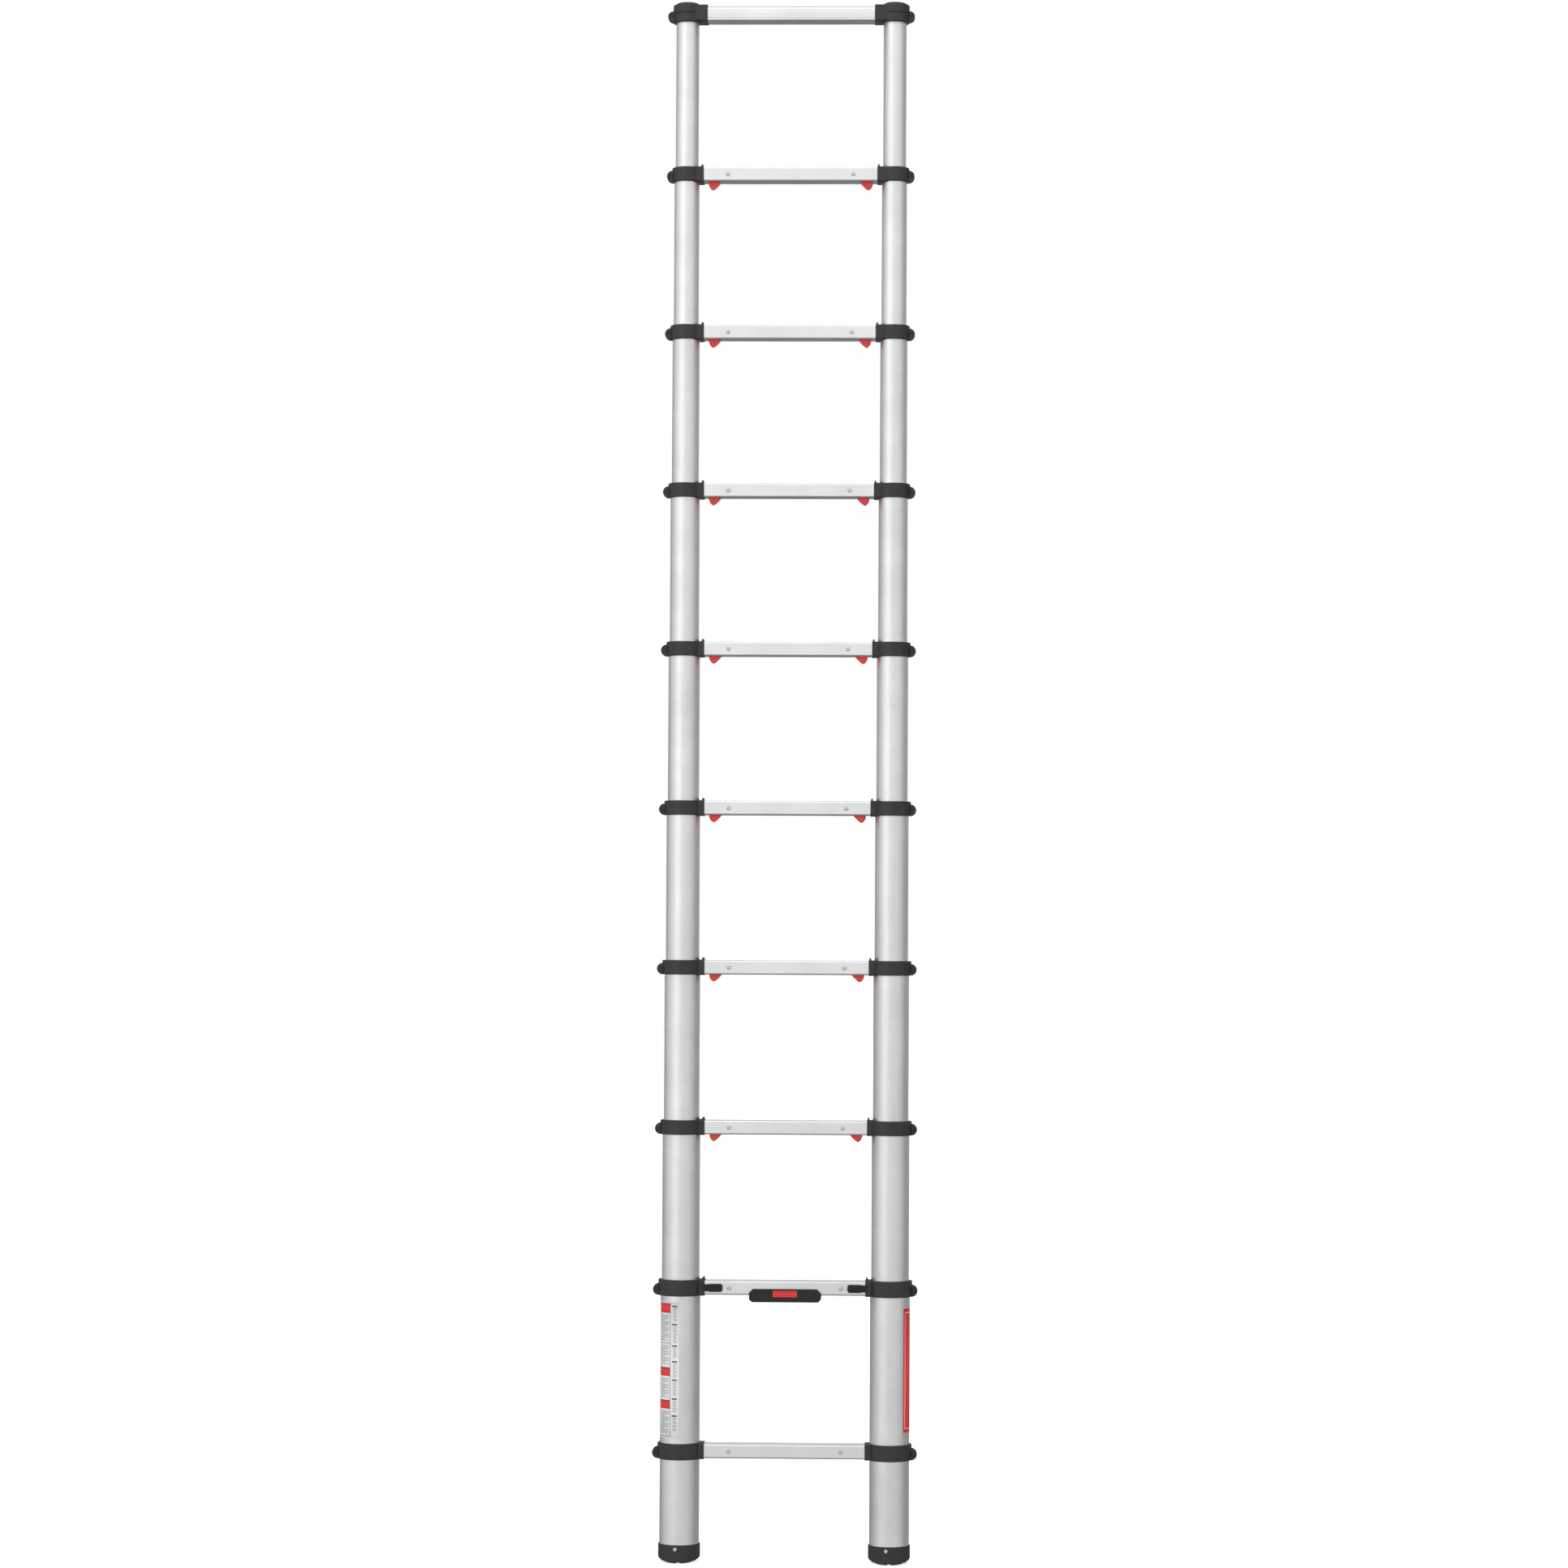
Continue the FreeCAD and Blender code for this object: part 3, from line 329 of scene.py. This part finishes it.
NOTE_DROP, NOTE_FOOT_GAP, NOTE_LOWEST = 3.6 * MM, 5 * MM, 0.2450

# Red strip on the outer side of the right stile.
STRIP_ANGLES = (313.0, 385.0)
STRIP_HEIGHTS = (0.2488, 0.4835)
BORDER_ANGLES = (319.0, 379.0)
BORDER_HEIGHTS = (0.2560, 0.4763)
BORDER_LINE = 1.2 * MM
BORDER_LINE_ANGLE = 1.8


def instruction_sticker():
    """White sticker with a framed column of red heads and a column of plain line blocks."""
    builder = bmesh.new()
    x = -STILE_X

    def print_block(start, end, low, high, material):
        curved_patch(builder, x, PRINT_RADIUS, start, end, low, high, PRINT_THICKNESS, material)

    curved_patch(builder, x, BASE_TUBE_RADIUS, *STICKER_ANGLES, *STICKER_HEIGHTS,
                 PAPER_THICKNESS, MATERIAL_PAPER)
    for angle in FRAME_START_ANGLES:
        print_block(angle, angle + FRAME_LINE_ANGLE, *FRAME_HEIGHTS, MATERIAL_DARK)
    for z in (FRAME_HEIGHTS[0], RED_HEADS[1][0], RED_HEADS[2][0], FRAME_MIDDLE_LINE):
        print_block(*FRAME_CROSS_ANGLES, z, z + FRAME_LINE, MATERIAL_DARK)
    for high, low in RED_HEADS:
        print_block(*RED_HEAD_ANGLES, low, high, MATERIAL_RED)
    for top, bottom in TEXT_BLOCKS:
        z = top
        row = 0
        while z - TEXT_ROW > bottom:
            last_of_group = row % TEXT_ROWS_IN_GROUP == TEXT_ROWS_IN_GROUP - 1
            print_block(TEXT_START, TEXT_SHORT_END if last_of_group else TEXT_END,
                        z - TEXT_ROW, z, MATERIAL_GREY)
            z -= TEXT_ROW_PITCH
            row += 1
    for index, z in enumerate(BAR_HEIGHTS):
        print_block(*BAR_ANGLES, z - BAR_HALF_HEIGHT, z + BAR_HALF_HEIGHT, MATERIAL_DARK)
        below = BAR_HEIGHTS[index + 1] if index + 1 < len(BAR_HEIGHTS) else NOTE_LOWEST
        row_z = z - NOTE_DROP
        row = 0
        while row_z - NOTE_ROW > below + NOTE_FOOT_GAP:
            last_of_group = row % NOTE_ROWS_IN_GROUP == NOTE_ROWS_IN_GROUP - 1
            print_block(NOTE_START, NOTE_SHORT_END if last_of_group else NOTE_END,
                        row_z - NOTE_ROW, row_z, MATERIAL_GREY)
            row_z -= NOTE_ROW_PITCH
            row += 1
    return finish_piece(builder, "instruction_sticker", "section_1", LABEL_MATERIALS)


def side_sticker():
    """Plain red strip on the outer side of the right stile, with a thin pale border."""
    builder = bmesh.new()
    x = STILE_X
    curved_patch(builder, x, BASE_TUBE_RADIUS, *STRIP_ANGLES, *STRIP_HEIGHTS, PAPER_THICKNESS, MATERIAL_RED)

    def border(start, end, low, high):
        curved_patch(builder, x, PRINT_RADIUS, start, end, low, high, PRINT_THICKNESS, MATERIAL_PAPER)

    start, end = BORDER_ANGLES
    low, high = BORDER_HEIGHTS
    for angle in (start, end - BORDER_LINE_ANGLE):
        border(angle, angle + BORDER_LINE_ANGLE, low, high)
    for z in (low, high - BORDER_LINE):
        border(start, end, z, z + BORDER_LINE)
    return finish_piece(builder, "side_sticker", "section_1", LABEL_MATERIALS)


PLATE_DROP = 9.0 * MM
PLATE_HALF_LENGTH, PLATE_HALF_HEIGHT, PLATE_CORNER = 23.0 * MM, 6.0 * MM, 1.0 * MM
PLATE_PROUD, PLATE_SUNK = 0.5 * MM, 0.3 * MM
PLATE_EDGE = 0.25 * MM
LINE_LIFT = 3.4 * MM
LINE_HALF_LENGTH, LINE_HALF_HEIGHT, LINE_CORNER = 20.5 * MM, 0.35 * MM, 0.3 * MM
LINE_PROUD, LINE_SUNK = 0.6 * MM, 0.4 * MM
CORNER_STEPS = 4


def grip_plate():
    """Red plate with softened edges and two fine lines, let into the front of the grip."""
    low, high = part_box("carry_grip")
    front = low.y
    centre_z = high.z - PLATE_DROP
    builder = bmesh.new()

    def slab(half_x, half_z, y0, y1, corner, material, lift=0.0):
        outline = []
        middle = centre_z + lift
        for cx, cz, turn in ((1, 1, 0), (-1, 1, 90), (-1, -1, 180), (1, -1, 270)):
            for step in range(CORNER_STEPS + 1):
                angle = math.radians(turn + 90.0 / CORNER_STEPS * step)
                outline.append((cx * (half_x - corner) + corner * math.cos(angle),
                                middle + cz * (half_z - corner) + corner * math.sin(angle)))
        rings = []
        for y, shrink in ((y1, 0.0), (y0 + PLATE_EDGE, 0.0), (y0, PLATE_EDGE)):
            ring = []
            for px, pz in outline:
                sx = px - math.copysign(shrink, px)
                sz = pz - math.copysign(shrink, pz - middle)
                ring.append(builder.verts.new((sx, y, sz)))
            rings.append(ring)
        count = len(outline)
        for near, far in zip(rings, rings[1:]):
            for i in range(count):
                j = (i + 1) % count
                face = builder.faces.new((near[i], near[j], far[j], far[i]))
                face.material_index = material
        builder.faces.new(rings[-1]).material_index = material
        builder.faces.new(list(reversed(rings[0]))).material_index = material

    slab(PLATE_HALF_LENGTH, PLATE_HALF_HEIGHT, front - PLATE_PROUD, front + PLATE_SUNK,
         PLATE_CORNER, MATERIAL_RED)
    for lift in (-LINE_LIFT, LINE_LIFT):
        slab(LINE_HALF_LENGTH, LINE_HALF_HEIGHT, front - LINE_PROUD, front - LINE_SUNK,
             LINE_CORNER, MATERIAL_PAPER, lift)
    bmesh.ops.recalc_face_normals(builder, faces=builder.faces)
    return finish_piece(builder, "grip_plate", "section_1", LABEL_MATERIALS)


instruction_sticker()
side_sticker()
grip_plate()


# ---------------------------------------------------------------- stage
# Brightness of the studio, from straight behind the ladder to straight in front of it.
LIGHT_TURN = 15.0
ROUND_STOPS = [(0.0, 0.60), (0.12, 0.44), (0.30, 0.36), (0.50, 0.78), (0.72, 1.06), (1.0, 1.12)]
# The same, from straight down to straight up.
HEIGHT_STOPS = [(0.0, 0.24), (0.34, 0.34), (0.45, 0.86), (0.52, 1.0), (0.75, 0.95), (1.0, 0.60)]
WORLD_STRENGTH = 1.0
FLOOR_REACH = 40.0
FLOOR_DROP = 0.5 * MM
FLOOR_GLOW = 0.62
CAMERA_PLACE = (0.216, -7.989, 1.200)
CAMERA_PITCH, CAMERA_YAW, CAMERA_ROLL = 2.02, -1.60, 0.29
CAMERA_LENS = 95.75
CAMERA_SENSOR = 36.0
CAMERA_FAR = 100.0


def studio_floor():
    """Wide pale floor, thin as card, with its top at the lowest line of the soles."""
    builder = bmesh.new()
    reach = FLOOR_REACH
    corners = [builder.verts.new((x, y, -FLOOR_DROP)) for x, y in
               ((-reach, -reach), (reach, -reach), (reach, reach), (-reach, reach))]
    builder.faces.new(corners)
    mesh = bpy.data.meshes.new("floor")
    builder.to_mesh(mesh)
    builder.free()
    shader = Shader("floor_white", (0.92, 0.92, 0.92), 0.9)
    shader.bsdf.inputs["Specular IOR Level"].default_value = 0.0
    shader.bsdf.inputs["Emission Color"].default_value = (1.0, 1.0, 1.0, 1.0)
    shader.bsdf.inputs["Emission Strength"].default_value = FLOOR_GLOW
    shader.bump([shader.noise((1.0, 1.0, 1.0), 40.0, 3.0)], 0.02, 0.0005)
    mesh.materials.append(shader.material)
    sheet = bpy.data.objects.new("floor", mesh)
    sheet.visible_glossy = False
    bpy.context.scene.collection.objects.link(sheet)


def soft_light(name, place, target, size_x, size_y, power):
    data = bpy.data.lights.new(name, "AREA")
    data.shape = "RECTANGLE"
    data.size = size_x
    data.size_y = size_y
    data.energy = power
    light = bpy.data.objects.new(name, data)
    light.visible_camera = False
    light.location = place
    direction = Vector(target) - Vector(place)
    light.rotation_euler = direction.to_track_quat("-Z", "Y").to_euler()
    bpy.context.scene.collection.objects.link(light)


def world_light():
    """White studio seen by the camera; its reflections fall off towards the sides and the floor."""
    world = bpy.data.worlds.new("studio")
    bpy.context.scene.world = world
    world.use_nodes = True
    tree = world.node_tree
    background = tree.nodes["Background"]

    def node(kind, **settings):
        made = tree.nodes.new(kind)
        for key, value in settings.items():
            setattr(made, key, value)
        return made

    def ramp(source, stops):
        made = node("ShaderNodeValToRGB")
        elements = made.color_ramp.elements
        while len(elements) < len(stops):
            elements.new(0.5)
        for element, (position, value) in zip(elements, stops):
            element.position = position
            element.color = (value, value, value, 1.0)
        tree.links.new(source, made.inputs["Fac"])
        return made.outputs["Color"]

    def scaled(source):
        made = node("ShaderNodeMapRange")
        made.inputs["From Min"].default_value = -1.0
        tree.links.new(source, made.inputs["Value"])
        return made.outputs["Result"]

    place = node("ShaderNodeTexCoord").outputs["Generated"]
    flat = node("ShaderNodeVectorMath", operation="MULTIPLY")
    flat.inputs[1].default_value = (1.0, 1.0, 0.0)
    tree.links.new(place, flat.inputs[0])
    level = node("ShaderNodeVectorMath", operation="NORMALIZE")
    tree.links.new(flat.outputs["Vector"], level.inputs[0])
    facing = node("ShaderNodeVectorMath", operation="DOT_PRODUCT")
    turn = math.radians(LIGHT_TURN)
    facing.inputs[1].default_value = (-math.sin(turn), -math.cos(turn), 0.0)
    tree.links.new(level.outputs["Vector"], facing.inputs[0])
    round_about = ramp(scaled(facing.outputs["Value"]), ROUND_STOPS)
    split = node("ShaderNodeSeparateXYZ")
    tree.links.new(place, split.inputs[0])
    height = ramp(scaled(split.outputs["Z"]), HEIGHT_STOPS)
    both = node("ShaderNodeVectorMath", operation="MULTIPLY")
    tree.links.new(round_about, both.inputs[0])
    tree.links.new(height, both.inputs[1])
    bright = node("ShaderNodeVectorMath", operation="SCALE")
    bright.inputs["Scale"].default_value = WORLD_STRENGTH
    tree.links.new(both.outputs["Vector"], bright.inputs[0])
    seen = node("ShaderNodeMix", data_type="RGBA")
    rays = node("ShaderNodeLightPath")
    tree.links.new(rays.outputs["Is Camera Ray"], seen.inputs[0])
    tree.links.new(bright.outputs["Vector"], seen.inputs[6])
    seen.inputs[7].default_value = (1.0, 1.0, 1.0, 1.0)
    tree.links.new(seen.outputs[2], background.inputs["Color"])
    background.inputs["Strength"].default_value = 1.0


def camera():
    """Eye-level view from the climber's side, slightly right of the ladder."""
    pitch, yaw, roll = map(math.radians, (CAMERA_PITCH, CAMERA_YAW, CAMERA_ROLL))
    forward = Vector((math.sin(yaw) * math.cos(pitch), math.cos(yaw) * math.cos(pitch), math.sin(pitch)))
    level_right = Vector((math.cos(yaw), -math.sin(yaw), 0.0))
    level_up = level_right.cross(forward)
    right = level_right * math.cos(roll) + level_up * math.sin(roll)
    up = level_up * math.cos(roll) - level_right * math.sin(roll)
    data = bpy.data.cameras.new("camera")
    data.sensor_width = CAMERA_SENSOR
    data.lens = CAMERA_LENS
    data.clip_end = CAMERA_FAR
    eye = bpy.data.objects.new("camera", data)
    turn = Matrix((right, up, -forward)).transposed().to_4x4()
    eye.matrix_world = Matrix.Translation(CAMERA_PLACE) @ turn
    bpy.context.scene.collection.objects.link(eye)
    bpy.context.scene.camera = eye
    bpy.context.scene.view_settings.view_transform = "Standard"


studio_floor()
world_light()
soft_light("key_left", (-1.75, -2.3, 2.2), (0.0, 0.0, 1.9), 2.0, 4.4, 15.0)
soft_light("top", (0.0, -1.5, 6.0), (0.0, 0.0, 1.5), 4.0, 3.0, 60.0)
camera()
